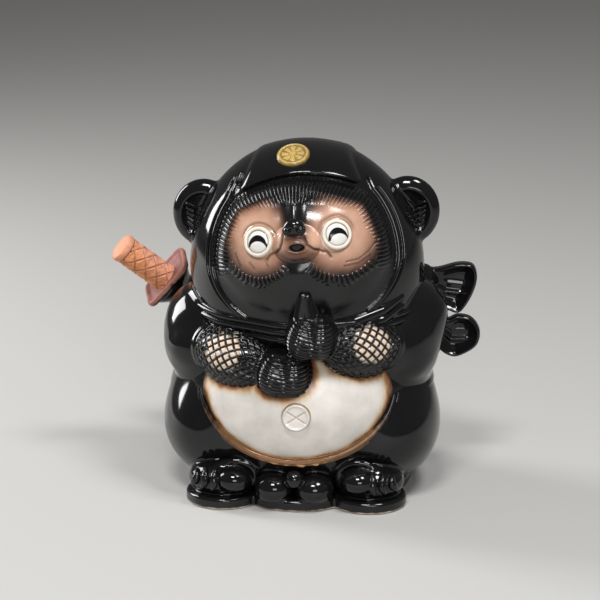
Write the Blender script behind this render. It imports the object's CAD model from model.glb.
import math
import bpy
import numpy as np
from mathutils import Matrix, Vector

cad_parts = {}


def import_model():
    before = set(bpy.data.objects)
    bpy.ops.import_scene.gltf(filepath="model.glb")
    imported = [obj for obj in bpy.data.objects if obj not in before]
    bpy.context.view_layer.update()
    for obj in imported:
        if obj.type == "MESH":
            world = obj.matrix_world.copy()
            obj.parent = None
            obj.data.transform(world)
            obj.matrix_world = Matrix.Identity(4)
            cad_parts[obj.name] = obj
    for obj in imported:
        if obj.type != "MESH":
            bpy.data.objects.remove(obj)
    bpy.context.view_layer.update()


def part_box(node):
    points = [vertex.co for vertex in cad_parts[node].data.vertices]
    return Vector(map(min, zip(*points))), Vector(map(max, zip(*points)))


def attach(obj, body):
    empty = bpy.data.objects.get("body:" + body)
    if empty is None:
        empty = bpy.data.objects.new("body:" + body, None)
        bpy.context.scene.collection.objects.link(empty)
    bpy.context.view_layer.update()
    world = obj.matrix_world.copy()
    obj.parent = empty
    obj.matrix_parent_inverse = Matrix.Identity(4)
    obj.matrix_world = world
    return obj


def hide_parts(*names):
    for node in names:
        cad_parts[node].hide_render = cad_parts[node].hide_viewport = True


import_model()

# Lengths are in millimetres, as in the part, up to the floor and the lamps, which are in Blender's metres
MM = 0.001
TINY = 1e-9
FAR_AWAY = 1e9


# Sizes of the main forms, read from the frame

def span(*nodes):
    """Lowest and highest corner of some CAD nodes together"""
    lows = [np.array(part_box(node)[0]) for node in nodes]
    highs = [np.array(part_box(node)[1]) for node in nodes]
    return np.min(lows, axis=0) / MM, np.max(highs, axis=0) / MM


# Tilt of the head and the ears, and heights as shares of a half width where other pieces hide them
HEAD_ROLL = math.radians(4.5)
EAR_ROLL = math.radians(2.0)
HEAD_TALL = 85.0 / 78.0
TORSO_TALL = 80.0 / 88.0
TORSO_LIFT = 53.0 / 88.0

hood_low, hood_high = span("hood_front", "hood_back")
head_x, head_y = (hood_high - hood_low)[:2] / 2
head_z = head_x * HEAD_TALL
head_half = np.array([head_x, head_y, head_z])
head_center = (hood_low + hood_high) / 2
head_center[2] = hood_high[2] - head_z

torso_low, torso_high = span("torso_front", "torso_back")
torso_x, torso_y = (torso_high - torso_low)[:2] / 2
torso_z = torso_x * TORSO_TALL
torso_half = np.array([torso_x, torso_y, torso_z])
floor_top = torso_low[2]
neck = torso_high[2]
torso_center = np.array([0.0, (torso_low[1] + torso_high[1]) / 2, floor_top + TORSO_LIFT * torso_x])
torso_front = torso_low[1]
sides = {"right": -1, "left": 1}


# Signed distances: each function takes points as rows and gives how far each is outside the form

def turn_y(angle):
    c, s = math.cos(angle), math.sin(angle)
    return np.array([[c, 0, s], [0, 1, 0], [-s, 0, c]])


def unit(v):
    v = np.asarray(v, float)
    return v / np.linalg.norm(v)


def axes_along(z_axis, hint=(1, 0, 0.01)):
    """Turn whose own Z runs along z_axis, with X as near the hint as it can be"""
    z = unit(z_axis)
    y = unit(np.cross(z, hint))
    return np.stack([np.cross(y, z), y, z], axis=1)


HEAD_TURN = turn_y(-HEAD_ROLL)
EAR_TURN = turn_y(-EAR_ROLL)
LEVEL = np.eye(3)


def local(points, center, turn):
    return (points - center) @ turn


def on_disc(points, center, turn):
    """Places seen from a round piece: in its own axes, and how far from its middle line"""
    q = local(points, center, turn)
    return q, np.hypot(q[:, 0], q[:, 1])


def world(point, center, turn):
    return center + turn @ np.asarray(point, float)


def nothing(points):
    """The distance to a form that isn't there yet, for others to join"""
    return np.full(len(points), FAR_AWAY)


def length(v):
    return np.sqrt(np.einsum("ij,ij->i", v, v))


def egg(center, half, turn=LEVEL):
    center = np.asarray(center, float)
    half = np.asarray(half, float)

    def distance(points):
        q = local(points, center, turn)
        near = length(q / half)
        slope = length(q / half ** 2)
        return near * (near - 1.0) / np.maximum(slope, TINY)

    return distance


def segment(points, start, end, r_start, r_end):
    """A round rod that tapers from one end to the other"""
    start = np.asarray(start, float)
    along = np.asarray(end, float) - start
    part = np.clip(((points - start) @ along) / (along @ along), 0.0, 1.0)
    return length(points - start - part[:, None] * along) - (r_start + (r_end - r_start) * part)


def tube(points, path, radii):
    """A round rod along a bent path with a radius at each bend"""
    result = nothing(points)
    for k in range(len(path) - 1):
        result = np.minimum(result, segment(points, path[k], path[k + 1], radii[k], radii[k + 1]))
    return result


def soft_min(a, b, reach):
    part = np.clip(0.5 + 0.5 * (b - a) / reach, 0.0, 1.0)
    return b + (a - b) * part - reach * part * (1.0 - part)


def soft_max(a, b, reach):
    return -soft_min(-a, -b, reach)


def step(low, high, x):
    t = np.clip((x - low) / (high - low), 0.0, 1.0)
    return t * t * (3.0 - 2.0 * t)


def bump(x, width):
    return np.exp(-(x / width) ** 2)


def chance(k, seed):
    """A number from 0 to 1 that looks random but always is the same for one k"""
    return np.modf(np.abs(np.sin(k * 12.9898 + seed * 78.233)) * 43758.5453)[0]


def ripple(points, scale, seed):
    """Smooth uneven field from about -1 to 1"""
    total = np.zeros(len(points))
    for k in range(4):
        wave = np.array([chance(k, seed), chance(k, seed + 1.3), chance(k, seed + 2.7)]) - 0.5
        turns = points @ unit(wave) * (1.0 + 0.45 * k) * 2.0 * math.pi / scale
        total += np.sin(turns + 9.0 * chance(k, seed + 4.1))
    return total / 2.6


def pressed(own, others, reach, sink=1.3):
    """A lump pressed on to others: a soft joint to them, and nothing deeper in them than sink"""

    def distance(points):
        d = own(points)
        joint = d
        inner = -nothing(points)
        for other in others:
            o = other(points)
            joint = soft_min(joint, o, reach)
            inner = np.maximum(inner, -(o + sink))
        return np.maximum(np.maximum(joint, inner), d - 0.97 * reach)

    return distance


# From a signed distance to a mesh: one point in each small cube that the surface passes through

BLOCK = 4
CHUNK = 150000
SETTLE_ROUNDS = 2
COARSER = 1.0


def evaluate(form, points):
    parts = [form(points[k:k + CHUNK]) for k in range(0, len(points), CHUNK)]
    return np.concatenate(parts)


def gradient(form, points, reach):
    result = np.zeros_like(points)
    for axis in range(3):
        offset = np.zeros(3)
        offset[axis] = reach
        result[:, axis] = evaluate(form, points + offset) - evaluate(form, points - offset)
    return result / (2.0 * reach)


def grid(counts):
    return np.stack(np.meshgrid(*[np.arange(n) for n in counts], indexing="ij"), -1).reshape(-1, 3)


def skin(form, low, high, cell):
    """Points, four-sided faces and normals of the surface of a form inside a box"""
    low = np.asarray(low, float) - 1.5 * cell
    high = np.asarray(high, float) + 1.5 * cell
    block = BLOCK * cell
    counts = np.ceil((high - low) / block).astype(int)
    blocks = grid(counts)
    blocks = blocks[np.abs(evaluate(form, low + (blocks + 0.5) * block)) < 1.25 * block]
    size = BLOCK + 1
    nodes = blocks[:, None, :] * BLOCK + grid((size, size, size))[None, :, :]
    values = evaluate(form, (low + nodes.reshape(-1, 3) * cell)).reshape(-1, size, size, size)
    corners = grid((2, 2, 2))
    corner_values = [values[:, c[0]:c[0] + BLOCK, c[1]:c[1] + BLOCK, c[2]:c[2] + BLOCK] for c in corners]
    corner_values = np.stack(corner_values, -1)
    inside = corner_values < 0
    count = inside.sum(-1)
    which = np.argwhere((count > 0) & (count < 8))
    cells = blocks[which[:, 0]] * BLOCK + which[:, 1:]
    v = corner_values[tuple(which.T)]
    total = np.zeros((len(cells), 3))
    crossings = np.zeros(len(cells))
    for a in range(8):
        for b in range(a + 1, 8):
            if np.abs(corners[a] - corners[b]).sum() != 1:
                continue
            cut = (v[:, a] < 0) != (v[:, b] < 0)
            part = np.where(cut, v[:, a] / np.where(cut, v[:, a] - v[:, b], 1.0), 0.0)
            spot = corners[a] + part[:, None] * (corners[b] - corners[a])
            total += np.where(cut[:, None], spot, 0.0)
            crossings += cut
    points = low + (cells + total / crossings[:, None]) * cell
    extent = counts * BLOCK + 2

    def key_of(places):
        return (places[:, 0] * extent[1] + places[:, 1]) * extent[2] + places[:, 2]

    key = key_of(cells)
    order = np.argsort(key)
    sorted_key = key[order]
    first = values[:, :BLOCK, :BLOCK, :BLOCK] < 0
    faces = []
    for axis in range(3):
        i, j, k = np.eye(3, dtype=int)[axis]
        second = values[:, i:BLOCK + i, j:BLOCK + j, k:BLOCK + k] < 0
        edge = np.argwhere(first != second)
        outward = first[tuple(edge.T)]
        spot = blocks[edge[:, 0]] * BLOCK + edge[:, 1:]
        u = np.eye(3, dtype=int)[(axis + 1) % 3]
        w = np.eye(3, dtype=int)[(axis + 2) % 3]
        ring = [spot - u - w, spot - w, spot, spot - u]
        index = []
        good = np.ones(len(spot), bool)
        for cell_of_ring in ring:
            wanted = key_of(cell_of_ring)
            place = np.clip(np.searchsorted(sorted_key, wanted), 0, len(sorted_key) - 1)
            good &= sorted_key[place] == wanted
            index.append(order[place])
        quad = np.stack(index, -1)
        quad = np.where(outward[:, None], quad, quad[:, ::-1])
        faces.append(quad[good])
    faces = np.concatenate(faces)
    for _ in range(SETTLE_ROUNDS):
        d = evaluate(form, points)
        g = gradient(form, points, 0.2 * cell)
        move = -(d / np.maximum(np.einsum("ij,ij->i", g, g), 0.15))[:, None] * g
        move *= np.minimum(1.0, 0.7 * cell / np.maximum(length(move), TINY))[:, None]
        points = points + move
    g = gradient(form, points, 0.45 * cell)
    normals = g / np.maximum(length(g), TINY)[:, None]
    return points, faces, normals


# Colours, linear

BLACK = np.array([0.0055, 0.0055, 0.0062])
TAN = np.array([0.60, 0.36, 0.255])
TAN_DEEP = np.array([0.30, 0.135, 0.080])
MESH_TAN = np.array([0.80, 0.62, 0.48])
CREAM = np.array([0.86, 0.80, 0.68])
EYE_WHITE = np.array([0.87, 0.85, 0.82])
BELLY_WHITE = np.array([0.80, 0.755, 0.70])
BELLY_BROWN = np.array([0.30, 0.115, 0.040])
AMBER = np.array([0.80, 0.45, 0.225])
GOLD = np.array([0.47, 0.315, 0.085])
HILT_BROWN = np.array([0.84, 0.33, 0.14])
HILT_PALE = np.array([0.70, 0.32, 0.215])
GUARD_BROWN = np.array([0.27, 0.097, 0.082])
CLAY = np.array([0.70, 0.58, 0.48])


def mix(a, b, part):
    part = np.asarray(part)[:, None]
    return a * (1.0 - part) + b * part


def plain(color):
    return lambda points, normals: np.tile(color, (len(points), 1))


GLAZE_INDEX = 1.48


def glaze(name, roughness, spread, grain, depth, speck=0.0):
    """Glaze in the piece's own tint, with uneven gloss, a waved skin and now and then a dark speck"""
    material = bpy.data.materials.new(name)
    material.use_nodes = True
    tree = material.node_tree
    shader = tree.nodes["Principled BSDF"]
    shader.inputs["IOR"].default_value = GLAZE_INDEX
    place = tree.nodes.new("ShaderNodeTexCoord").outputs["Object"]

    def noise(scale, detail):
        node = tree.nodes.new("ShaderNodeTexNoise")
        node.inputs["Scale"].default_value = scale
        node.inputs["Detail"].default_value = detail
        tree.links.new(place, node.inputs["Vector"])
        return node.outputs["Fac"]

    def spread_over(source, from_low, from_high, to_low, to_high):
        node = tree.nodes.new("ShaderNodeMapRange")
        values = (from_low, from_high, to_low, to_high)
        for socket, value in zip(("From Min", "From Max", "To Min", "To Max"), values):
            node.inputs[socket].default_value = value
        tree.links.new(source, node.inputs["Value"])
        return node.outputs["Result"]

    tint = tree.nodes.new("ShaderNodeAttribute")
    tint.attribute_name = "tint"
    patches = spread_over(noise(70.0, 4.0), 0.3, 0.7, 0.86, 1.08)
    specks = spread_over(noise(900.0, 1.0), 0.70, 0.76, 1.0, 1.0 - speck)
    both = tree.nodes.new("ShaderNodeMath")
    both.operation = "MULTIPLY"
    tree.links.new(patches, both.inputs[0])
    tree.links.new(specks, both.inputs[1])
    shaded = tree.nodes.new("ShaderNodeVectorMath")
    shaded.operation = "SCALE"
    tree.links.new(tint.outputs["Color"], shaded.inputs["Vector"])
    tree.links.new(both.outputs["Value"], shaded.inputs["Scale"])
    tree.links.new(shaded.outputs["Vector"], shader.inputs["Base Color"])
    gloss = spread_over(noise(55.0, 3.0), 0.3, 0.7, roughness, roughness + spread)
    tree.links.new(gloss, shader.inputs["Roughness"])
    skin_waves = tree.nodes.new("ShaderNodeBump")
    skin_waves.inputs["Distance"].default_value = depth * MM
    tree.links.new(noise(1.0 / (grain * MM), 2.0), skin_waves.inputs["Height"])
    tree.links.new(skin_waves.outputs["Normal"], shader.inputs["Normal"])
    return material


GLOSS = glaze("black_gloss", roughness=0.055, spread=0.07, grain=5.0, depth=0.03)
BELLY_GLAZE = glaze("white_gloss", roughness=0.16, spread=0.10, grain=4.0, depth=0.08, speck=0.10)
TINTED_GLAZE = glaze("face_gloss", roughness=0.16, spread=0.12, grain=4.0, depth=0.10, speck=0.12)
EYE_GLAZE = glaze("eye_gloss", roughness=0.12, spread=0.06, grain=3.0, depth=0.05)
GOLD_GLAZE = glaze("gold_lustre", roughness=0.24, spread=0.16, grain=1.6, depth=0.25)
SATIN = glaze("bare_clay", roughness=0.42, spread=0.20, grain=1.2, depth=0.30, speck=0.25)


def piece(name, form, cell, paint, nodes=None, material=GLOSS, room=2.0):
    """Meshes a form round its CAD nodes, or the one of its own name, paints it and hangs it on the frame"""
    nodes = nodes or [name]
    low, high = span(*nodes)
    points, faces, normals = skin(form, low - room, high + room, cell * COARSER)
    mesh = bpy.data.meshes.new(name)
    mesh.vertices.add(len(points))
    mesh.vertices.foreach_set("co", (points * MM).astype(np.float32).ravel())
    mesh.loops.add(faces.size)
    mesh.loops.foreach_set("vertex_index", faces.astype(np.int32).ravel())
    mesh.polygons.add(len(faces))
    mesh.polygons.foreach_set("loop_start", np.arange(0, faces.size, 4, dtype=np.int32))
    mesh.update(calc_edges=True)
    mesh.polygons.foreach_set("use_smooth", np.ones(len(faces), bool))
    tint = mesh.attributes.new("tint", "FLOAT_COLOR", "POINT")
    color = np.ones((len(points), 4), np.float32)
    color[:, :3] = paint(points, normals)
    tint.data.foreach_set("color", color.ravel())
    mesh.normals_split_custom_set_from_vertices(normals.astype(np.float32))
    mesh.materials.append(material)
    made = bpy.data.objects.new(name, mesh)
    bpy.context.scene.collection.objects.link(made)
    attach(made, "root")
    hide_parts(*nodes)


def black_piece(name, own, others, joint, cell, room=2.0):
    """A piece in plain black glaze, pressed on to other forms with a soft joint"""
    piece(name, pressed(own, others, joint), cell, plain(BLACK), room=room)


# The forms that other pieces are pressed on to

def in_head(points):
    return local(points, head_center, HEAD_TURN)


def on_head(x, y, z):
    return world((x, y, z), head_center, HEAD_TURN)


head_egg = egg(head_center, head_half, HEAD_TURN)
torso_egg = egg(torso_center, torso_half)
plate_top = 0.87 * floor_top
GLAZE_WAVE = 0.10
JACKET_EDGE = 70.0
JACKET_RISE = 1.4


def head_form(points):
    return head_egg(points) - GLAZE_WAVE * ripple(points, 46.0, 1.0)


def floor_cut(points):
    return plate_top - 0.8 - points[:, 2]


def seated(form):
    """A form cut off just under the top of the base plate"""
    return lambda points: np.maximum(form(points), floor_cut(points))


def torso_form(points):
    d = torso_egg(points)
    # The short jacket ends in a step round the back and sides
    hem = step(JACKET_EDGE, JACKET_EDGE + 1.5, points[:, 2] + 3.0 * np.sin(points[:, 0] / 23.0))
    back = step(-20.0, 10.0, points[:, 1])
    d = d - JACKET_RISE * hem * back - GLAZE_WAVE * ripple(points, 40.0, 2.0)
    return np.maximum(d, floor_cut(points))


BELLY_LINE = 80.0
BELLY_HALF_WIDTH = 62.0
BELLY_BELOW = 45.5
BELLY_ABOVE = 34.0
BELLY_MIDDLE = 1.0
BELLY_RISE = 12.5
BELLY_ROUNDNESS = 0.62


def belly_reach(points):
    """From 0 in the middle of the belly to 1 on its edge, seen from the front"""
    x = (points[:, 0] - BELLY_MIDDLE) / BELLY_HALF_WIDTH
    z = points[:, 2] - BELLY_LINE
    z = z / np.where(z < 0.0, BELLY_BELOW, BELLY_ABOVE)
    return np.hypot(x, z)


def belly_form(points):
    reach = belly_reach(points)
    rise = BELLY_RISE * np.maximum(1.0 - reach ** 2, 0.0) ** BELLY_ROUNDNESS
    rise = rise - 6.0 * np.maximum(reach - 1.0, 0.0)
    front = step(0.0, -20.0, points[:, 1])
    return torso_egg(points) - rise * front + 3.0 * (1.0 - front) - 0.15 * ripple(points, 30.0, 3.3)


shoulder_out = {"right": 0.15, "left": 0.36}
shoulder_up = {"right": 0.40, "left": 0.56}
hip_half = torso_half * (0.405, 0.74, 0.48)
hip_height = 0.58 * torso_center[2] + floor_top
sleeve_half = torso_half * (0.35, 0.49, 0.40)
hip_forms = {}
sleeve_centers = {}
sleeve_forms = {}
for name, side in sides.items():
    hip_center = (side * 0.655 * torso_x, torso_center[1] - 0.10 * torso_y, hip_height)
    hip_egg = egg(hip_center, hip_half)

    def hip_own(points, form=hip_egg):
        return np.maximum(form(points) - GLAZE_WAVE * ripple(points, 34.0, 2.4), floor_cut(points))

    hip_forms[name] = hip_own

    sleeve_center = torso_center + torso_half * (side * 0.70, -0.17, 0.475)
    sleeve_centers[name] = sleeve_center
    lower_egg = egg(sleeve_center, sleeve_half)
    shoulder_center = sleeve_center + sleeve_half * (side * shoulder_out[name], 0.25, shoulder_up[name])
    shoulder_egg = egg(shoulder_center, 0.80 * sleeve_half)

    def sleeve_own(points, lower=lower_egg, upper=shoulder_egg, center=sleeve_center, side=side):
        q = points - center
        around = np.arctan2(q[:, 2], -q[:, 1])
        folds = 0.55 * np.sin(6.0 * around + 1.2 * side) * step(-10.0, -26.0, q[:, 1])
        return soft_min(lower(points), upper(points), 9.0) + folds - GLAZE_WAVE * ripple(points, 34.0, 2.8)

    sleeve_forms[name] = sleeve_own

hand_centers = {"lower": np.array([-5.6, 0.0, 94.6]), "upper": np.array([12.2, 0.0, 119.6])}
hand_halves = {"lower": np.array([19.4, 20.0, 15.8]), "upper": np.array([18.6, 20.0, 16.4])}
# Both fists reach as far forward as the lower one does in the frame
hands_front = span("hand_lower")[0][1]
for name in hand_halves:
    hand_centers[name][1] = hands_front + hand_halves[name][1]

ARM_RADIUS = 0.245 * torso_z
ARM_END = 5.0
wrists = {
    "right": hand_centers["lower"] + hand_halves["lower"] * (-0.72, 0.0, 0.15),
    "left": hand_centers["upper"] + hand_halves["upper"] * (0.72, 0.05, -0.60),
}
arm_lift = {"right": 1.0, "left": 5.0}
forearm_forms = {}
forearm_frames = {}
for name, side in sides.items():
    elbow = sleeve_centers[name] + sleeve_half * (-side * 0.02, -0.66, 0.10) + (0.0, 0.0, arm_lift[name])
    along = wrists[name] - elbow
    half_length = np.linalg.norm(along) / 2 + ARM_END
    arm_center = (elbow + wrists[name]) / 2
    arm_turn = axes_along(along, (0, 0, 1))
    forearm_frames[name] = (arm_center, arm_turn)
    forearm_forms[name] = egg(arm_center, (ARM_RADIUS, ARM_RADIUS, half_length), arm_turn)


# Paint

def edge_of(form, points, reach=1.0):
    """How sharply the surface turns outward: 0 on smooth places, towards 1 on thin edges"""
    total = np.zeros(len(points))
    for axis in range(3):
        offset = np.zeros(3)
        offset[axis] = reach
        total += evaluate(form, points + offset) + evaluate(form, points - offset)
    return step(0.55, 1.5, total / reach)


# Body, hood, hips and belly

piece("torso", torso_form, 1.2, plain(BLACK), ["torso_front", "torso_back"])
piece("hood", head_form, 1.2, plain(BLACK), ["hood_front", "hood_back"])

for name, form in hip_forms.items():
    black_piece("hip_" + name, form, [torso_form], joint=9.0, cell=1.2, room=6.0)


def near_arms(points):
    """Distance to the nearest forearm or to the lower fist"""
    near = egg(hand_centers["lower"], hand_halves["lower"])(points)
    for form in forearm_forms.values():
        near = np.minimum(near, form(points))
    return near


WARM_EDGE = (2.0, 5.6)
BROWN_EDGE = (1.2, 3.4)
BLACK_EDGE = (-0.4, 1.6)
WARM = BELLY_WHITE * (0.86, 0.68, 0.46)


def belly_paint(points, normals):
    """White in the middle, scorched brown and then black towards the edge and under the arms"""
    uneven = 0.6 * ripple(points, 24.0, 3.0) + 0.25 * ripple(points, 8.0, 4.0)
    from_edge = (1.0 - belly_reach(points)) * BELLY_BELOW
    inward = np.minimum(from_edge, 0.75 * near_arms(points)) + uneven
    color = mix(BELLY_WHITE, WARM, 1.0 - step(*WARM_EDGE, inward))
    color = mix(color, BELLY_BROWN, 1.0 - step(*BROWN_EDGE, inward))
    return mix(color, BLACK, 1.0 - step(*BLACK_EDGE, inward))


others = [torso_form] + list(hip_forms.values())
piece("belly", pressed(belly_form, others, 2.5), 0.8, belly_paint,
      material=BELLY_GLAZE, room=9.0)

# Sleeves, cuffs and the mesh forearms

CUFF_RADIUS = 2.1
MESH_PITCH = 4.9
MESH_DEPTH = 0.95
MESH_GROOVE = 0.72
MESH_SPOTS = {"right": (-45.2, -62.0, 106.5), "left": (51.0, -62.0, 114.0)}
MESH_SPOT_HALF = (14.5, 16.0, 12.0)


def mesh_lines(points, arm):
    """Distances to the two sets of slanting lines of the mesh"""
    center, turn = forearm_frames[arm]
    q = local(points, center, turn)
    round_arm = np.arctan2(q[:, 1], q[:, 0]) * ARM_RADIUS
    u = (q[:, 2] + round_arm) / math.sqrt(2.0)
    w = (q[:, 2] - round_arm) / math.sqrt(2.0)
    du = np.abs(np.mod(u, MESH_PITCH) - MESH_PITCH / 2)
    dw = np.abs(np.mod(w, MESH_PITCH) - MESH_PITCH / 2)
    return du, dw


for name in sides:
    sleeve_form = sleeve_forms[name]
    forearm_form = forearm_forms[name]
    others = [torso_form, head_form, hip_forms[name]]
    black_piece("sleeve_" + name, sleeve_form, others, joint=5.0, cell=1.0, room=9.0)

    def forearm_own(points, arm=name, form=forearm_form):
        du, dw = mesh_lines(points, arm)
        groove = np.maximum(bump(du, MESH_GROOVE), bump(dw, MESH_GROOVE))
        return form(points) + MESH_DEPTH * groove

    def forearm_paint(points, normals, arm=name):
        du, dw = mesh_lines(points, arm)
        pillow = step(0.6, 1.2, np.minimum(du, dw))
        away = length((points - np.array(MESH_SPOTS[arm])) / MESH_SPOT_HALF)
        lit = 1.0 - step(0.78, 1.08, away + 0.07 * ripple(points, 9.0, 6.0))
        return mix(BLACK, MESH_TAN, pillow * lit)

    others = [sleeve_form, torso_form, belly_form, head_form]
    piece("forearm_" + name, pressed(forearm_own, others, 2.0), 0.42, forearm_paint, room=7.0)

    def cuff_own(points, a=sleeve_form, b=forearm_form):
        return np.sqrt(a(points) ** 2 + b(points) ** 2) - CUFF_RADIUS

    black_piece("cuff_" + name, cuff_own, [sleeve_form, forearm_form], joint=1.2, cell=0.5, room=7.0)

# The two fists and the raised fingers

FUR_PITCH = 2.7
FUR_DEPTH = 0.6
LOBE_SHARE = 0.64
LOBE_SOFT = 9.0
FIST_IN = 1.4
fist_forms = {}
hand_forms = {}
for name in hand_halves:
    center = hand_centers[name]
    half = hand_halves[name]
    lobe_half = half * (LOBE_SHARE, 1.0, 1.0)
    lobe_out = (1.0 - LOBE_SHARE) * half[0]
    lobes = [egg(center + (side * lobe_out, 0.0, 0.0), lobe_half) for side in sides.values()]

    def fist_form(points, lobes=lobes):
        return soft_min(lobes[0](points), lobes[1](points), LOBE_SOFT) + FIST_IN

    def hand_form(points, fist=fist_form, center=center, half=half):
        q = points - center
        across = q[:, 0] / half[0]
        line = q[:, 2] + 4.0 * across - 4.5 * across ** 2
        count = line / FUR_PITCH
        return fist(points) + FUR_DEPTH * (0.5 + 0.5 * np.cos(2.0 * math.pi * count)) ** 1.6

    fist_forms[name] = fist_form
    hand_forms[name] = hand_form

arm_forms = list(forearm_forms.values())
others = arm_forms + [torso_form, belly_form]
black_piece("hand_lower", hand_forms["lower"], others, joint=1.5, cell=0.4, room=6.0)
others = arm_forms + [torso_form, head_form, fist_forms["lower"]]
black_piece("hand_upper", hand_forms["upper"], others, joint=1.5, cell=0.4, room=16.0)

FINGER_TIP = np.array([7.8, -70.0, 150.0])
# Two raised fingers and a shorter one behind: root and end from the tip, and the radius at each
FINGERS = (
    ((-4.6, 1.0, -26.0), (-1.2, 0.6, -3.4), 5.0, 2.9),
    ((4.4, 0.0, -26.0), (1.8, 0.0, -3.8), 4.8, 2.7),
    ((9.5, 5.0, -26.0), (4.8, 3.6, -8.5), 4.0, 2.4),
)


def fingers_form(points):
    d = nothing(points)
    for root, end, wide, narrow in FINGERS:
        d = soft_min(d, segment(points, FINGER_TIP + root, FINGER_TIP + end, wide, narrow), 0.8)
    return d


black_piece("raised_fingers", fingers_form, [hand_forms["upper"], head_form], joint=1.4, cell=0.4, room=5.0)

# Coil along the lower edge of the belly

def on_torso(x, z, out):
    part = 1.0 - ((x - torso_center[0]) / torso_x) ** 2 - ((z - torso_center[2]) / torso_z) ** 2
    point = np.array([x, torso_center[1] - torso_y * math.sqrt(max(part, 0.0)), z])
    return point + out * unit((point - torso_center) / torso_half ** 2)


HEM_STEPS = 48
HEM_FIRST = -174.0
HEM_LAST = -6.0
HEM_RADIUS = 2.0
HEM_OUTER_RADIUS = 1.6


def hem_line(share, out):
    """A line round the lower edge of the belly, at a share of its size"""
    line = []
    for angle in np.radians(np.linspace(HEM_FIRST, HEM_LAST, HEM_STEPS)):
        x = BELLY_MIDDLE + share * BELLY_HALF_WIDTH * math.cos(angle)
        z = BELLY_LINE + share * BELLY_BELOW * math.sin(angle)
        line.append(on_torso(x, z, out))
    return line


taper = 1.0 - 0.45 * np.abs(np.linspace(-1.0, 1.0, HEM_STEPS)) ** 3
hem_inner = hem_line(1.000, 2.7)
hem_outer = hem_line(1.058, 1.0)


def hem_form(points):
    inner = tube(points, hem_inner, HEM_RADIUS * taper)
    return soft_min(inner, tube(points, hem_outer, HEM_OUTER_RADIUS * taper), 0.6)


def hem_paint(points, normals):
    across = np.abs(points[:, 0] - BELLY_MIDDLE) / BELLY_HALF_WIDTH + 0.08 * ripple(points, 9.0, 8.0)
    high = edge_of(hem_form, points, 0.8)
    color = mix(BELLY_BROWN * 0.45, AMBER, np.clip(0.25 + 0.9 * high, 0.0, 1.0))
    dark = 0.35 * step(0.25, 0.7, across) + 0.65 * step(0.72, 1.0, across)
    return mix(color, BLACK, dark)


others = [torso_form, belly_form] + list(hip_forms.values())
piece("belly_hem", pressed(hem_form, others, 1.0), 0.42, hem_paint, room=6.0)

# Beads of the small knot: each one's place along the hem's steps, and its size
KNOT_STEPS = ((18.0, 1.3), (20.2, 1.6), (22.4, 1.3), (24.2, 1.8), (26.6, 1.5), (28.6, 1.2))


def hem_knot_form(points):
    d = nothing(points)
    for k, size in KNOT_STEPS:
        low = int(k)
        spot = (hem_inner[low] + hem_outer[low]) / 2 + (k - low) * (hem_inner[low + 1] - hem_inner[low])
        spot = spot + (0.0, -0.7, 0.35 * math.sin(3.0 * k))
        bead = egg(spot, (2.3 * size, size, 1.2 * size), turn_y(0.35 * math.sin(5.0 * k)))
        d = soft_min(d, bead(points), 1.4)
    return d


others = [hem_form, torso_form, belly_form]
piece("hem_knot", pressed(hem_knot_form, others, 0.8), 0.38, hem_paint, room=16.0)

# Navel: a flat button with a rim and a cross cut in it

NAVEL_RADIUS = 9.4
NAVEL_HALF = 1.0
NAVEL_RIM = 0.8
NAVEL_CUT = 0.5
NAVEL_ROUNDS = 6
navel_spot = np.array([3.2, 0.0, 68.5])
navel_spot[1] = on_torso(navel_spot[0], navel_spot[2], 0.0)[1]
for _ in range(NAVEL_ROUNDS):
    navel_spot[1] += belly_form(navel_spot[None])[0]
navel_turn = axes_along(gradient(belly_form, navel_spot[None], 1.0)[0])


def navel_relief(q, r):
    across, up = q[:, 0], q[:, 1]
    cross = np.minimum(np.abs(0.55 * across + 0.84 * up), np.abs(0.55 * across - 0.84 * up))
    inside = 1.0 - step(0.80, 0.92, r / NAVEL_RADIUS)
    rim = bump(r - NAVEL_RADIUS + 1.3, 0.9)
    return NAVEL_RIM * rim - NAVEL_CUT * bump(cross, 0.5) * inside


def navel_form(points):
    q, r = on_disc(points, navel_spot, navel_turn)
    return soft_max(r - NAVEL_RADIUS, np.abs(q[:, 2]) - NAVEL_HALF - navel_relief(q, r), 1.2)


def navel_paint(points, normals):
    q, r = on_disc(points, navel_spot, navel_turn)
    low = 0.5 * step(0.0, 0.5, -navel_relief(q, r))
    upper = 0.55 + 0.45 * step(-4.0, 5.0, points[:, 2] - navel_spot[2])
    low = np.maximum(low, upper * step(NAVEL_RADIUS - 1.0, NAVEL_RADIUS - 0.2, r))
    return mix(BELLY_WHITE, BELLY_WHITE * (0.42, 0.27, 0.17), low)


piece("navel", pressed(navel_form, [belly_form], 0.5), 0.32, navel_paint,
      material=BELLY_GLAZE, room=8.0)

# The sitting base, the feet and the purse

foot_x = 0.545 * torso_x
foot_y = torso_front + 0.32 * torso_y
BASE_ROUND = 2.2


def oval_2d(points, x, y, a, b):
    px = (points[:, 0] - x) / a
    py = (points[:, 1] - y) / b
    near = np.hypot(px, py)
    slope = np.hypot(px / a, py / b)
    return near * (near - 1.0) / np.maximum(slope, TINY)


def base_form(points):
    d = oval_2d(points, 0.0, torso_center[1], 0.84 * torso_x, 0.90 * torso_y)
    for side in sides.values():
        d = soft_min(d, oval_2d(points, side * foot_x, foot_y, 0.295 * torso_x, 0.37 * torso_y), 2.5)
    d = soft_min(d, oval_2d(points, 0.0, torso_front + 0.22 * torso_y, 0.34 * torso_x, 0.26 * torso_y), 2.5)
    d = d + 0.5 - 0.25 * ripple(points * (1, 1, 0), 30.0, 11.0)
    up = np.abs(points[:, 2] - plate_top / 2) - plate_top / 2
    a = d + BASE_ROUND
    b = up + BASE_ROUND
    return np.hypot(np.maximum(a, 0.0), np.maximum(b, 0.0)) + np.minimum(np.maximum(a, b), 0.0) - BASE_ROUND


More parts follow.
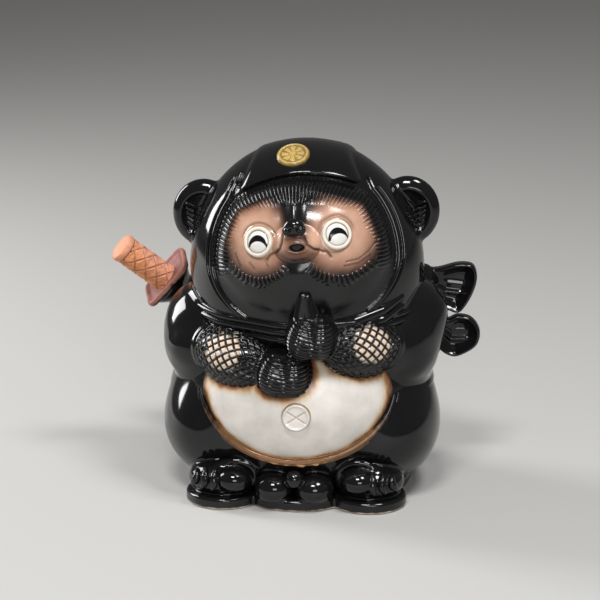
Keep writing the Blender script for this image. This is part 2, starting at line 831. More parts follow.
def base_paint(points, normals):
    bare = 1.0 - step(0.9, 1.6, points[:, 2] + 0.35 * ripple(points, 12.0, 12.0))
    return mix(BLACK, CLAY, bare)


piece("base_plate", base_form, 0.8, base_paint)

BIG_TOES = {"right": (-39.9, -60.0, 18.8), "left": (42.6, -60.0, 20.0)}
BIG_TOE_HALF = np.array([11.4, 10.5, 8.4])
ARCH_HALF = (14.0, 10.8)
ARCH_BACK = 5.5
ARCH_ANGLES = np.radians(np.linspace(-20.0, 165.0, 16))
STRAND_COUNT = 3
STRAND_STEPS = 10
STRAND_TOP = 44.0
STRAND_RUN = 54.0
STRAND_OUT = 1.06
foot_half = torso_half * (0.27, 0.31, 0.17)
for name, side in sides.items():
    foot_center = np.array([side * foot_x, foot_y, floor_top + 0.09 * torso_z])
    foot_egg = egg(foot_center, foot_half)
    big = np.array(BIG_TOES[name])

    # A fold of the leg arches over the big toe
    arch = []
    for angle in ARCH_ANGLES:
        across = -side * ARCH_HALF[0] * math.cos(angle)
        arch.append(big + (across, ARCH_BACK, ARCH_HALF[1] * math.sin(angle)))
    arch_radii = 1.0 + 1.5 * np.sin(np.linspace(0.1, 3.0, len(arch)))

    def foot_own(points, form=foot_egg, arch=arch, radii=arch_radii):
        d = soft_min(form(points), tube(points, arch, radii), 3.0)
        return np.maximum(d, floor_cut(points))

    others = [torso_form, hip_forms[name], base_form]
    black_piece("foot_" + name, foot_own, others, joint=3.0, cell=0.6, room=6.0)

    # Locks of fur curl down over the outer side of the foot
    strands = []
    for k in range(STRAND_COUNT):
        strand = []
        for t in np.linspace(0.0, 1.0, STRAND_STEPS):
            across = 0.10 + 0.26 * k + 0.12 * t + 0.03 * math.sin(5.5 * t + 0.9 * k)
            down = math.radians(STRAND_TOP + STRAND_RUN * t)
            ring = math.sqrt(max(1.0 - across ** 2, 0.0))
            spot = np.array([side * across, -ring * math.sin(down), ring * math.cos(down)])
            strand.append(foot_center + STRAND_OUT * foot_half * spot)
        strands.append(strand)
    strand_radii = 0.5 + 2.2 * np.sin(np.linspace(0.1, 2.6, STRAND_STEPS))

    def toes_own(points, big=big, strands=strands, radii=strand_radii):
        d = egg(big, BIG_TOE_HALF)(points)
        for strand in strands:
            d = soft_min(d, tube(points, strand, radii), 0.6)
        return np.maximum(d, floor_cut(points))

    others = [foot_own, base_form, torso_form]
    black_piece("toes_" + name, toes_own, others, joint=1.0, cell=0.42, room=9.0)

BAG_OUT = 13.3
BAG_LIFT = 4.6
bag_y = torso_front + 0.12 * torso_y
bag_half = torso_half * (0.150, 0.20, 0.133)
bag_forms = {}
for name, side in sides.items():
    bag_forms[name] = seated(egg((side * BAG_OUT, bag_y, floor_top + BAG_LIFT), bag_half))
    black_piece("bag_" + name, bag_forms[name], [torso_form, base_form], joint=2.5, cell=0.6, room=6.0)

knob_form = egg((0.8, torso_front + 0.3, floor_top + 13.2), (6.2, 6.6, 6.0))
others = list(bag_forms.values()) + [torso_form]
black_piece("bag_knob", knob_form, others, joint=1.2, cell=0.42, room=6.0)

# The face, set in the front of the hood. Places on it are given as x and z from the head's middle

FACE_HALF = np.array([0.77, 0.67, 0.66]) * head_half
FACE_CENTER = np.array([0.02, -0.425, 0.15]) * head_half
FACE_LINE = 3.5
face_egg = egg(on_head(*FACE_CENTER), FACE_HALF, HEAD_TURN)
PATCHES = {"right": (-24.0, 35.0, 21.0, 23.6), "left": (30.8, 34.6, 23.4, 24.8)}
EYES = {"right": (-21.6, 32.6), "left": (26.9, 34.3)}
LID_RADIUS = 11.6
CHEEK_RISE = 2.6
JOWL_RISE = 1.8
BRIDGE_RISE = 3.6
CHIN_RISE = 3.4
STROKE_PITCH = 2.7
STROKE_DEPTH = 1.25

# The face opening: round below, with straight sides above the height of the brow
OPENING_HALF = 60.5
OPENING_MIDDLE = 14.0
OPENING_ABOVE = 64.0
OPENING_BELOW = 43.7
BROW_HEIGHT = 55.0
BROW_HALF = 46.5
BROW_MIDDLE = 3.0
VISOR_HALF = 44.0
VISOR_TOP = 70.2
VISOR_DROP = 12.5
FRINGE_TOP = 67.4
FRINGE_DROP = 11.8
FRINGE_IN = 2.6


def face_width(z):
    """Half the width of the face opening at a height"""
    tall = np.where(z > OPENING_MIDDLE, OPENING_ABOVE, OPENING_BELOW)
    round_part = OPENING_HALF * np.sqrt(np.maximum(1.0 - ((z - OPENING_MIDDLE) / tall) ** 2, 0.0))
    return np.where(z > BROW_HEIGHT, BROW_HALF - (z - BROW_HEIGHT) * 0.5, round_part)


def visor_height(x):
    return VISOR_TOP - VISOR_DROP * ((x - BROW_MIDDLE) / VISOR_HALF) ** 2


def fringe_inside(x, z):
    """How far a place lies inside the line of fur under the visor and down both sides"""
    top = FRINGE_TOP - FRINGE_DROP * ((x - BROW_MIDDLE) / VISOR_HALF) ** 2
    return np.minimum(top - z, face_width(z) - FRINGE_IN - np.abs(x - FACE_LINE))


def line_distance(x, z, corners):
    """Distance in a plane to a bent line"""
    result = nothing(x)
    for k in range(len(corners) - 1):
        ax, az = corners[k]
        dx, dz = corners[k + 1][0] - ax, corners[k + 1][1] - az
        part = np.clip(((x - ax) * dx + (z - az) * dz) / (dx * dx + dz * dz), 0.0, 1.0)
        result = np.minimum(result, np.hypot(x - ax - part * dx, z - az - part * dz))
    return result


MOUTH = (2.9, 30.2)
MOUTH_HALF = (5.2, 2.6)
SMILE_DEPTH = 1.2
SMILE_WIDTH = 0.85
SMILES = [
    [(-5.6, 39.5), (-6.4, 34.0), (-8.2, 29.6), (-11.4, 26.4), (-15.0, 25.2), (-17.6, 22.0)],
    [(7.8, 36.5), (9.6, 31.6), (13.2, 28.0), (17.8, 25.9), (21.4, 25.0), (23.4, 21.8)],
]
CHEEK_LINES = [
    [(33.0, 17.2), (40.5, 17.6), (47.0, 21.4), (52.6, 27.5)],
    [(31.5, 14.6), (40.5, 15.0), (47.8, 18.6)],
    [(-35.5, 17.5), (-37.0, 21.0), (-38.4, 25.0)],
    [(-26.5, 16.5), (-29.0, 19.8)],
    [(-18.6, 21.2), (-17.4, 18.0)],
]


def strokes_along(count, sharp):
    """Rounded ridges side by side with narrow valleys: 0 on a ridge, 1 in a valley"""
    return (1.0 - np.abs(np.sin(math.pi * count))) ** sharp


def lid_line(x, z, eye):
    """1 on the fold of skin over an eye"""
    far = np.hypot(x - eye[0], z - eye[1])
    over = step(-0.1, 0.5, (z - eye[1]) / np.maximum(far, TINY))
    return bump(far - LID_RADIUS, 0.9) * over


def face_relief(x, z):
    """How far the face stands out of its plain lens"""
    rise = np.zeros(len(x))
    # Cheeks round the eyes, bridge of the nose, chin and jowls
    for cx, cz, a, b in PATCHES.values():
        rise += CHEEK_RISE * np.exp(-(((x - cx) / a) ** 2 + ((z - cz) / b) ** 2) ** 2)
        rise += JOWL_RISE * np.exp(-((x - cx) / 17.0) ** 2 - ((z - 3.0) / 12.0) ** 2)
    rise += BRIDGE_RISE * bump(x - 1.2, 5.0) * step(40.0, 46.0, z) * (1.0 - step(55.0, 62.0, z))
    rise += CHIN_RISE * np.exp(-((x - 1.6) / 10.0) ** 2 - ((z - 12.0) / 9.0) ** 2)
    # Roll of fur under the visor and down both sides, cut into strokes
    inward = fringe_inside(x, z)
    above = step(2.0, 22.0, z)
    roll = 2.6 * step(-0.6, 3.0, inward) * (1.0 - step(5.0, 14.0, inward))
    rise += above * (roll - 1.2 * step(0.0, -1.0, inward))
    count = np.arctan2(z - 18.0, x - FACE_LINE) * 52.0 / STROKE_PITCH
    end = 10.0 + 3.0 * chance(np.floor(count), 3.0)
    mask = step(-0.3, 1.0, inward) * (1.0 - step(end - 3.0, end + 0.8, inward)) * above
    rise -= STROKE_DEPTH * mask * strokes_along(count, 1.2)
    # Short strokes of fur under each cheek
    for cx, cz, a, b in PATCHES.values():
        px, pz = (x - cx) / a, (z - cz) / b
        far = np.hypot(px, pz)
        turn = np.arctan2(pz, px)
        count = turn * 22.0 / 2.6
        count = count + 0.25 * np.sin(9.0 * far)
        end = 1.26 + 0.12 * chance(np.floor(count), 8.0)
        mask = step(1.00, 1.08, far) * (1.0 - step(end - 0.10, end + 0.02, far))
        mask = mask * (1.0 - step(-0.80, -0.55, np.sin(turn)))
        rise += mask * (1.2 - 1.3 * strokes_along(count, 1.0))
    # Creases
    for crease in SMILES:
        rise -= SMILE_DEPTH * bump(line_distance(x, z, crease), SMILE_WIDTH)
    for crease in CHEEK_LINES:
        rise -= 0.6 * bump(line_distance(x, z, crease), 0.7)
    for eye in EYES.values():
        rise -= 0.8 * lid_line(x, z, eye)
    return rise


def face_shape(points):
    q = in_head(points)
    front = step(-8.0, -22.0, q[:, 1])
    return face_egg(points) - front * face_relief(q[:, 0], q[:, 2])


# Edges of the tan patches as shares of their size, and how the fringe's distance adds to them
TAN_EDGE = (0.36, 1.0)
DEEP_EDGE = (0.60, 1.12)
FRINGE_FADE = 1.52
FRINGE_SLOPE = 0.072
PATCH_POWER = 2.6


def face_paint(points, normals):
    """Tan patches airbrushed over black"""
    q = in_head(points)
    x, z = q[:, 0], q[:, 2]
    near = np.full(len(points), 9.0)
    for cx, cz, a, b in PATCHES.values():
        squarish = np.abs((x - cx) / a) ** PATCH_POWER + np.abs((z - cz) / b) ** PATCH_POWER
        near = np.minimum(near, squarish ** (1.0 / PATCH_POWER))
    near = near + 0.02 * ripple(points, 13.0, 21.0)
    near = np.maximum(near, FRINGE_FADE - FRINGE_SLOPE * fringe_inside(x, z))
    lip = np.hypot((x - 2.5) / 15.0, (z - 28.5) / 8.0)
    bridge = 1.0 - np.clip(1.7 * bump(x - 1.4, 5.8) * step(37.0, 41.0, z), 0.0, 1.0)
    tan = (1.0 - step(*TAN_EDGE, near)) * bridge
    deep = (1.0 - step(*DEEP_EDGE, np.minimum(near, lip))) * bridge
    color = mix(BLACK, TAN_DEEP, deep)
    color = mix(color, TAN, tan)
    crease = np.zeros(len(points))
    for line in SMILES:
        crease = np.maximum(crease, 0.8 * bump(line_distance(x, z, line), SMILE_WIDTH))
    for line in CHEEK_LINES:
        crease = np.maximum(crease, 0.5 * bump(line_distance(x, z, line), 0.8))
    for ex, ez in EYES.values():
        crease = np.maximum(crease, 0.45 * lid_line(x, z, (ex, ez)))
        crease = np.maximum(crease, 0.5 * bump(np.hypot(x - ex, z - ez) - 10.0, 0.7))
    shade = TAN_DEEP * 0.30 * np.maximum(deep, tan)[:, None]
    return mix(color, shade, crease)


piece("face", pressed(face_shape, [head_form], 1.6), 0.45, face_paint,
      material=TINTED_GLAZE, room=5.0)

muzzle_egg = egg(on_head(2.2, -68.5, 30.5), (14.5, 9.5, 12.0), HEAD_TURN)


def mouth_reach(x, z):
    """From 0 in the middle of the mouth to 1 on its edge"""
    return np.hypot((x - MOUTH[0]) / MOUTH_HALF[0], (z - MOUTH[1]) / MOUTH_HALF[1])


def muzzle_shape(points):
    q = in_head(points)
    x, z = q[:, 0], q[:, 2]
    d = muzzle_egg(points)
    for crease in SMILES:
        d = d + SMILE_DEPTH * bump(line_distance(x, z, crease), SMILE_WIDTH)
    hole = mouth_reach(x, z)
    return d + 2.4 * (1.0 - step(0.55, 1.1, hole)) - 0.6 * bump(hole - 1.3, 0.28)


def muzzle_paint(points, normals):
    q = in_head(points)
    x, z = q[:, 0], q[:, 2]
    side_light = bump(np.abs(x - 2.6) - 11.5, 5.0)
    color = mix(TAN_DEEP * 0.62, TAN * 1.15, np.clip(side_light * step(24.0, 32.0, z), 0.0, 1.0))
    hole = mouth_reach(x, z)
    dark = 1.0 - step(0.75, 1.2, hole)
    for crease in SMILES:
        dark = np.maximum(dark, 0.8 * bump(line_distance(x, z, crease), SMILE_WIDTH))
    dark = np.maximum(dark, 1.0 - step(19.0, 25.0, z + 0.8 * ripple(points, 9.0, 23.0)))
    dark = np.maximum(dark, step(37.0, 40.0, z) * bump(x - 1.8, 6.5))
    return mix(color, BLACK, dark)


piece("muzzle", pressed(muzzle_shape, [face_shape], 2.0), 0.38, muzzle_paint,
      material=TINTED_GLAZE, room=6.0)

NOSE = np.array([2.0, -75.6, 43.4])
NOSE_HALF = (6.8, 5.4, 5.6)
WING = np.array([4.4, -1.6, -1.6])
WING_HALF = (3.2, 3.4, 3.4)


def nose_shape(points):
    """A ball with two wings, a slit beside the middle and a curl on each wing"""
    q = in_head(points) - NOSE
    d = egg((0.0, 0.0, 0.0), NOSE_HALF)(q)
    for side in sides.values():
        d = soft_min(d, egg(WING * (side, 1, 1), WING_HALF)(q), 0.9)
        slit = np.hypot(q[:, 0] - side * 2.2, (q[:, 2] + 0.6) / 1.8)
        curl = np.hypot(q[:, 0] - side * WING[0], q[:, 2] + 1.2) - 2.0
        d = d + 0.9 * bump(slit, 0.8)
        d = d + 0.4 * bump(curl, 0.45)
    return d


black_piece("nose", nose_shape, [muzzle_shape, face_shape], joint=1.2, cell=0.3, room=6.0)

# Eyes

eye_frames = {}
for name, (ex, ez) in EYES.items():
    part = 1.0 - ((ex - FACE_CENTER[0]) / FACE_HALF[0]) ** 2 - ((ez - FACE_CENTER[2]) / FACE_HALF[2]) ** 2
    seat = np.array([ex, FACE_CENTER[1] - FACE_HALF[1] * math.sqrt(part), ez])
    outward = unit((seat - FACE_CENTER) / FACE_HALF ** 2)
    seat = seat + outward * face_relief(np.array([ex]), np.array([ez]))[0]
    eye_frames[name] = (on_head(*seat), axes_along(HEAD_TURN @ outward, HEAD_TURN[:, 0]))

PUPIL_TILT = {"right": -5.0, "left": 9.0}
EYE_RING_RADIUS = 8.45
EYE_RING_TUBE = 1.3
eyeball = egg((0.0, 0.0, -0.6), (7.9, 7.9, 3.0))
for name, (eye_seat, eye_turn) in eye_frames.items():

    def ring_form(points, seat=eye_seat, turn=eye_turn):
        q, r = on_disc(points, seat, turn)
        return np.hypot(r - EYE_RING_RADIUS, q[:, 2] - 0.3) - EYE_RING_TUBE

    def ring_paint(points, normals, seat=eye_seat, turn=eye_turn):
        q, r = on_disc(points, seat, turn)
        inner = 1.0 - step(EYE_RING_RADIUS - 1.1, EYE_RING_RADIUS - 0.7, r)
        outer = step(EYE_RING_RADIUS + 1.0, EYE_RING_RADIUS + 1.7, r)
        return mix(CREAM, TAN_DEEP * 0.5, np.clip(0.75 * inner + 0.8 * outer, 0.0, 1.0))

    def ball_form(points, seat=eye_seat, turn=eye_turn):
        return eyeball(local(points, seat, turn))

    def ball_paint(points, normals, seat=eye_seat, turn=eye_turn, tilt=math.radians(PUPIL_TILT[name])):
        """White with a black pupil like an arch"""
        q, r = on_disc(points, seat, turn)
        x = q[:, 0] * math.cos(tilt) + q[:, 1] * math.sin(tilt)
        y = q[:, 1] * math.cos(tilt) - q[:, 0] * math.sin(tilt)
        outer = np.hypot((x - 0.2) / 6.6, (y + 3.6) / 7.8)
        inner = np.hypot((x - 0.5) / 5.5, (y + 4.4) / 4.5)
        black = (1.0 - step(0.97, 1.03, outer)) * step(0.96, 1.05, inner) * step(-3.9, -3.3, y)
        rim = step(6.5, 7.3, r)
        color = mix(EYE_WHITE, TAN_DEEP * 0.5, 0.75 * rim)
        return mix(color, BLACK, black)

    piece("eye_ring_" + name, pressed(ring_form, [face_shape], 0.7), 0.32, ring_paint,
          material=EYE_GLAZE, room=4.0)
    piece("eyeball_" + name, pressed(ball_form, [ring_form, face_shape], 0.3), 0.2, ball_paint,
          material=EYE_GLAZE, room=4.0)

# Beads down both sides of the face opening, and the brow panel with the crest

def on_hood(x, z, out):
    part = 1.0 - (x / head_x) ** 2 - (z / head_z) ** 2
    point = np.array([x, -head_y * math.sqrt(max(part, 0.0)), z])
    return world(point + out * unit(point / head_half ** 2), head_center, HEAD_TURN)


rim_lines = []
rim_heights = np.linspace(79.0, -19.0, 50)
for side in (-1, 1):
    for extra, radius in ((0.0, 1.6), (3.3, 1.2)):
        path = [on_hood(FACE_LINE + side * (float(face_width(z)) + extra), z, 0.5) for z in rim_heights]
        rim_lines.append((path, radius * (1.0 - 0.65 * step(66.0, 79.0, rim_heights))))


def rim_form(points):
    d = nothing(points)
    for path, radii in rim_lines:
        d = soft_min(d, tube(points, path, radii), 0.6)
    return d


black_piece("hood_rim", rim_form, [head_form, face_shape], joint=0.8, cell=0.45, room=6.0)


BAND_RISE = 2.7
BAND_FADE = (72.0, 88.0)
BAND_IN = 3.4


def brow_form(points):
    q = in_head(points)
    x, z = q[:, 0], q[:, 2]
    shell = head_egg(points) - BAND_RISE * (1.0 - step(*BAND_FADE, z))
    under = visor_height(x) - z
    aside = np.abs(x - BROW_MIDDLE) - (face_width(z) - BAND_IN)
    return soft_max(soft_max(shell, under, 2.2), aside, 4.0)


black_piece("brow_band", brow_form, [head_form, face_shape], joint=0.9, cell=0.55, room=14.0)

CREST_RADIUS = 10.9
CREST_HALF = 1.4
CREST_PETALS = 8
crest_spot = on_hood(-0.4, 78.2, 2.0)
crest_out = unit(in_head(crest_spot[None])[0] / head_half ** 2)
crest_turn = axes_along(HEAD_TURN @ crest_out, HEAD_TURN[:, 0])


def crest_relief(points):
    """A ring, a boss and petals between them"""
    q, r = on_disc(points, crest_spot, crest_turn)
    angle = np.arctan2(q[:, 1], q[:, 0])
    rise = 0.5 * bump(r - 9.3, 0.8) + 0.7 * bump(r, 2.2)
    petal = np.abs(np.cos(0.5 * CREST_PETALS * angle)) * (1.0 - step(6.6, 7.8, r)) * step(2.6, 3.4, r)
    return rise + 0.55 * petal


def crest_form(points):
    q, r = on_disc(points, crest_spot, crest_turn)
    return soft_max(r - CREST_RADIUS, np.abs(q[:, 2]) - CREST_HALF - crest_relief(points), 1.6)


def crest_paint(points, normals):
    high = crest_relief(points) + 0.12 * ripple(points, 5.0, 41.0)
    return mix(GOLD * 0.45, GOLD * 1.1, step(0.0, 0.45, high))


piece("crest", pressed(crest_form, [head_form], 0.6), 0.3, crest_paint,
      material=GOLD_GLAZE, room=3.0)

# Ears with a cup and strokes of hair

EAR_HALF = np.array([0.27 * head_x, 9.0, 0.27 * head_z])
CUP_HALF = np.array([15.8, 9.5, 17.0])
HAIR_RADII = (0.8, 1.55, 0.8)
for name, side in sides.items():
    ear_center = world(head_half * (side * 0.87, 0.03, 0.426), head_center, EAR_TURN)
    cup_center = ear_center + EAR_HALF * (side * 0.02, -1.10, -0.04)

    def ear_form(points, center=ear_center, cup=cup_center):
        return soft_max(egg(center, EAR_HALF)(points), -egg(cup, CUP_HALF)(points), 2.0)

    black_piece("ear_" + name, ear_form, [head_form], joint=3.0, cell=0.5, room=4.0)
    strokes = []
    for k in range(4):
        start = np.array([side * (-9.0 + 2.9 * k), 0.0, 9.5 - 1.0 * k])
        strokes.append((start, start + (side * 4.2, 0.0, -9.0 + 1.2 * k)))
    for k in range(5):
        start = np.array([side * (3.2 + 0.6 * k), 0.0, 2.4 - 3.4 * k])
        strokes.append((start, start + (side * (8.0 - 0.9 * k), 0.0, 4.6)))

    def hair_form(points, center=ear_center, cup=cup_center, strokes=strokes):
        d = nothing(points)
        for start, end in strokes:
            path = []
            for part in (0.0, 0.5, 1.0):
                spot = center + start + part * (end - start)
                across, _, up = (spot - cup) / CUP_HALF
                deep = 1.0 - across ** 2 - up ** 2
                spot[1] = cup[1] + CUP_HALF[1] * math.sqrt(max(deep, 0.02)) - 0.3
                path.append(spot)
            d = soft_min(d, tube(points, path, HAIR_RADII), 0.4)
        return d

    black_piece("ear_hair_" + name, hair_form, [ear_form, head_form], joint=0.6, cell=0.32, room=14.0)

# Scarf: rolls round the neck, crossed collar, knot and two tails

# Height over the neck, rise from the hood and half height of each roll
WRAPS = ((4.4, 4.4, 2.9), (9.8, 3.9, 2.7), (14.6, 2.9, 2.4))
WRAP_DEPTH = 2.4


def wrap_form(points):
    d = head_egg(points)
    around = np.arctan2(points[:, 1], points[:, 0])
    z = points[:, 2] - neck + 1.4 * np.sin(3.0 * around + 0.6) + 0.7 * np.sin(7.0 * around)
    result = nothing(points)
    for height, rise, half in WRAPS:
        far = np.hypot((z - height) / half, (d - rise + WRAP_DEPTH) / WRAP_DEPTH)
        result = soft_min(result, far * WRAP_DEPTH - WRAP_DEPTH, 0.5)
    return result


black_piece("neck_wrap", wrap_form, [head_form, torso_form], joint=1.4, cell=0.65, room=5.0)


def chest_front(z):
    part = max(1.0 - ((z - torso_center[2]) / torso_z) ** 2, 0.0)
    return torso_center[1] - torso_y * math.sqrt(part)


right_out = np.array([-0.66 * torso_x, 0.60 * chest_front(neck), neck + 8.0])
right_in = np.array([-0.04 * torso_x, chest_front(neck) - 3.0, neck - 1.6])
right_bow = (right_out + right_in) / 2 + (-4.0, -7.0, -1.5)
# The left side of the collar lies higher, over the raised arm
left_spots = ((0.90, -0.16), (0.66, -0.25), (0.43, -0.30), (0.20, -0.32))
left_path = [on_hood(x * head_x, z * head_z, 0.8) for x, z in left_spots]
collars = {
    "right": ([right_out, right_bow, right_in], np.array([3.4, 4.6, 4.0])),
    "left": (left_path, np.array([1.0, 3.0, 4.0, 3.6])),
}
for name, (collar_path, collar_radii) in collars.items():

    def collar_form(points, path=collar_path, radii=collar_radii):
        upper = tube(points, path, radii)
        lower = tube(points, [p + (0.0, -0.6, -6.0) for p in path], 0.92 * radii)
        return soft_min(upper, lower, 0.9)

    others = [torso_form, head_form, sleeve_forms[name], wrap_form]
    black_piece("collar_" + name, collar_form, others, joint=1.6, cell=0.55, room=8.0)

KNOT_SHIFT = (7.0, -2.0, -2.5)
KNOT_HALF = (12.0, 12.0, 10.5)
PLEAT_DEPTH = 0.9
knot_spot = on_head(0.84 * head_x, 0.50 * head_y, -0.20 * head_z)


def knot_form(points):
    q = points - knot_spot
    pleat = np.sin(q[:, 2] * 0.55 + q[:, 0] * 0.35 + 0.8)
    return egg(knot_spot + KNOT_SHIFT, KNOT_HALF)(points) + PLEAT_DEPTH * pleat


others = [head_form, torso_form, sleeve_forms["left"]]
black_piece("scarf_knot", knot_form, others, joint=2.0, cell=0.6, room=22.0)

# Each tail is a leaf in the plane of x and z from the knot, dished at the front and creased along a fold
UPPER_TAIL = [
    (4, 2), (19, 4), (33, 7.8), (43, 6.5), (46, -3),
    (42, -16), (34.5, -26.5), (26, -25), (12, -20), (3, -10),
]
LOWER_TAIL = [
    (8, -20), (24, -31), (33, -28.5), (42.5, -30.5), (48.5, -39),
    (47, -49), (39, -55.5), (30, -58), (20, -52), (8, -36),
]
UPPER_FOLD = [(14, -6), (24, -12.5), (44, -14.5)]
LOWER_FOLD = [(18, -36), (29, -46.0), (46.5, -45.5)]
CURVE_STEPS = 6
DISH_FRONT = 0.50
DISH_BACK = 0.20
CREASE_RISE = 1.9
BEAD_RISE = 0.7


def smooth_loop(corners):
    """A closed curve through all corners"""
    corners = np.array(corners, float)
    before, after = np.roll(corners, 1, axis=0), np.roll(corners, -1, axis=0)
    later = np.roll(corners, -2, axis=0)
    result = []
    for k in range(len(corners)):
        for t in np.arange(CURVE_STEPS) / CURVE_STEPS:
            a = 2.0 * corners[k]
            b = (after[k] - before[k]) * t
            c = (2.0 * before[k] - 5.0 * corners[k] + 4.0 * after[k] - later[k]) * t ** 2
            d = (3.0 * corners[k] - before[k] - 3.0 * after[k] + later[k]) * t ** 3
            result.append(tuple(0.5 * (a + b + c + d)))
    return result


def flat_distance(x, z, corners):
    """Signed distance to a closed outline in a plane"""
    near = line_distance(x, z, corners + corners[:1])
    inside = np.zeros(len(x), bool)
    for k in range(len(corners)):
        ax, az = corners[k]
        bx, bz = corners[(k + 1) % len(corners)]
        crosses = (az > z) != (bz > z)
        inside ^= crosses & (x < ax + (z - az) * (bx - ax) / (bz - az if bz != az else TINY))
    return np.where(inside, -near, near)


def tail_form(corners, thick, fold):
    outline = smooth_loop(corners)

    def distance(points):
        q = points - knot_spot
        x, z = q[:, 0], q[:, 2]
        edge = flat_distance(x, z, outline)
        deep = step(0.8, 9.0, -edge) * step(14.0, 26.0, x)
        bead = bump(edge + 1.6, 1.0)
        away = line_distance(x, z, fold)
        crease = bump(away, 2.2) + 0.45 * bump(away - 5.5, 2.5)
        front = -q[:, 1] - thick / 2 + DISH_FRONT * thick * deep
        front = front - CREASE_RISE * crease * deep - BEAD_RISE * bead
        back = q[:, 1] - thick / 2 + DISH_BACK * thick * deep
        return soft_max(soft_max(edge, front, 1.8), back, 2.4)

    return distance


tail_forms = {
    "upper": tail_form(UPPER_TAIL, 9.0, UPPER_FOLD),
    "lower": tail_form(LOWER_TAIL, 8.0, LOWER_FOLD),
}
for name, form in tail_forms.items():
    others = [knot_form, head_form, sleeve_forms["left"], torso_form]
    black_piece("scarf_tail_" + name, form, others, joint=1.4, cell=0.5, room=5.0)

# Sword on the back

guard_center = torso_center + (-1.125 * torso_x, 0.586 * torso_y, 0.81 * torso_z)
back_point = torso_center + (-0.36 * torso_x, torso_y, 0.08 * torso_z)
sword_turn = axes_along(guard_center - back_point, (0, 1, 0))
GUARD_HALF = np.array([17.0, 20.2])
GUARD_SHIFT = np.array([0.0, -1.2])
GUARD_CORNER = 7.0
GUARD_THICKNESS = 6.0
GUARD_DISH = 1.6
GUARD_BEVEL = 1.5
HILT_RADIUS = 9.6
HILT_LENGTH = 33.0
CAP_LENGTH = 5.0


def in_sword(points):
    return local(points, guard_center, sword_turn)


def rod(q, r, low, high, soft):
    """A round bar along the sword from low to high, its ends rounded by soft"""
    beyond = np.abs(q[:, 2] - (low + high) / 2) - (high - low) / 2
    return soft_max(np.hypot(q[:, 0], q[:, 1]) - r, beyond, soft)


def guard_outline(q):
    """Distance in the guard's own plane to its edge, a square with round corners"""
    over = np.abs(q[:, :2] - GUARD_SHIFT) - (GUARD_HALF - GUARD_CORNER)
    outside = length(np.maximum(over, 0.0))
    return outside + np.minimum(np.max(over, axis=1), 0.0) - GUARD_CORNER


def guard_form(points):
    q = in_sword(points)
    edge = guard_outline(q)
    top = q[:, 2] - GUARD_THICKNESS / 2 + GUARD_DISH * step(1.5, 5.0, -edge)
    low = -q[:, 2] - GUARD_THICKNESS / 2 + GUARD_BEVEL * (1.0 - step(0.0, 7.0, -edge))
    return soft_max(soft_max(edge, top, 1.8), low, 1.8)


def guard_paint(points, normals):
    q = in_sword(points)
    facing = normals @ sword_turn[:, 2]
    back = 1.0 - step(-0.5, 0.1, facing + 0.2 * ripple(points, 10.0, 31.0))
    light = 0.95 + 0.2 * ripple(points, 11.0, 32.0)
    color = GUARD_BROWN * light[:, None]
    edge = 0.35 * (1.0 - step(0.5, 2.5, -guard_outline(q)))
    color = mix(color, HILT_PALE, edge)
    return mix(color, BLACK, back)


WRAP_COUNT = 5
WRAP_SLANT = 1.25
WRAP_GROOVE = 0.55


def wrap_lines(q):
    """Distance to the crossing grooves of the hilt's wrapping"""
    around = np.arctan2(q[:, 1], q[:, 0]) * HILT_RADIUS
    pitch = 2.0 * math.pi * HILT_RADIUS / WRAP_COUNT
    u = np.mod(q[:, 2] * WRAP_SLANT + around, pitch) - pitch / 2
    w = np.mod(q[:, 2] * WRAP_SLANT - around, pitch) - pitch / 2
    return np.minimum(np.abs(u), np.abs(w))


hilt_low = GUARD_THICKNESS / 2
hilt_high = hilt_low + HILT_LENGTH


def hilt_form(points):
    q = in_sword(points)
    away = wrap_lines(q)
    groove = bump(away, 0.8) - 0.4 * bump(away - 1.8, 0.9)
    return rod(q, HILT_RADIUS, hilt_low - 3.0, hilt_high, 1.5) + WRAP_GROOVE * groove


def clay_tint(points):
    """Unglazed reddish clay, warmer below and paler above"""
    q = in_sword(points)
    above = points[:, 2] - guard_center[2] - 0.77 * q[:, 2]
    warm = step(-8.0, 8.0, above + 2.0 * ripple(points, 9.0, 33.0))
    light = 0.92 + 0.16 * ripple(points, 6.0, 34.0)
    return mix(HILT_BROWN, HILT_PALE, warm) * light[:, None]


def hilt_paint(points, normals):
    groove = bump(wrap_lines(in_sword(points)), 0.8)
    return clay_tint(points) * (1.0 - 0.35 * groove)[:, None]


def cap_form(points):
    q = in_sword(points)
    return rod(q, HILT_RADIUS + 0.5, hilt_high - 0.5, hilt_high + CAP_LENGTH, 2.6)


def cap_paint(points, normals):
    q = in_sword(points)
    seam = bump(q[:, 2] - hilt_high, 0.7)
    color = 0.5 * clay_tint(points) + 0.5 * HILT_PALE
    return color * (1.0 - 0.5 * seam)[:, None]


piece("sword_guard", guard_form, 0.5, guard_paint, material=SATIN)
piece("sword_hilt", pressed(hilt_form, [guard_form], 0.8), 0.4, hilt_paint, material=SATIN)
piece("hilt_cap", pressed(cap_form, [hilt_form], 0.4), 0.4, cap_paint, material=SATIN)

MOUTH_LENGTH = 10.0
SCABBARD_LENGTH = 112.0
TIP_LENGTH = 11.0
mouth_high = -GUARD_THICKNESS / 2
mouth_low = mouth_high - MOUTH_LENGTH
scabbard_low = mouth_high - SCABBARD_LENGTH + 8.0


def mouth_form(points):
    """Collar that flares out to the guard"""
    q = in_sword(points)
    flare = 5.0 * step(mouth_low, mouth_high, q[:, 2])
    return rod(q, 12.0 + flare, mouth_low - 1.0, mouth_high + 1.5, 1.5)


def scabbard_form(points):
    return rod(in_sword(points), HILT_RADIUS + 0.5, scabbard_low - 0.5, mouth_low + 0.5, 1.0)


def tip_form(points):
    return rod(in_sword(points), HILT_RADIUS + 1.7, scabbard_low - TIP_LENGTH, scabbard_low + 0.4, 4.0)


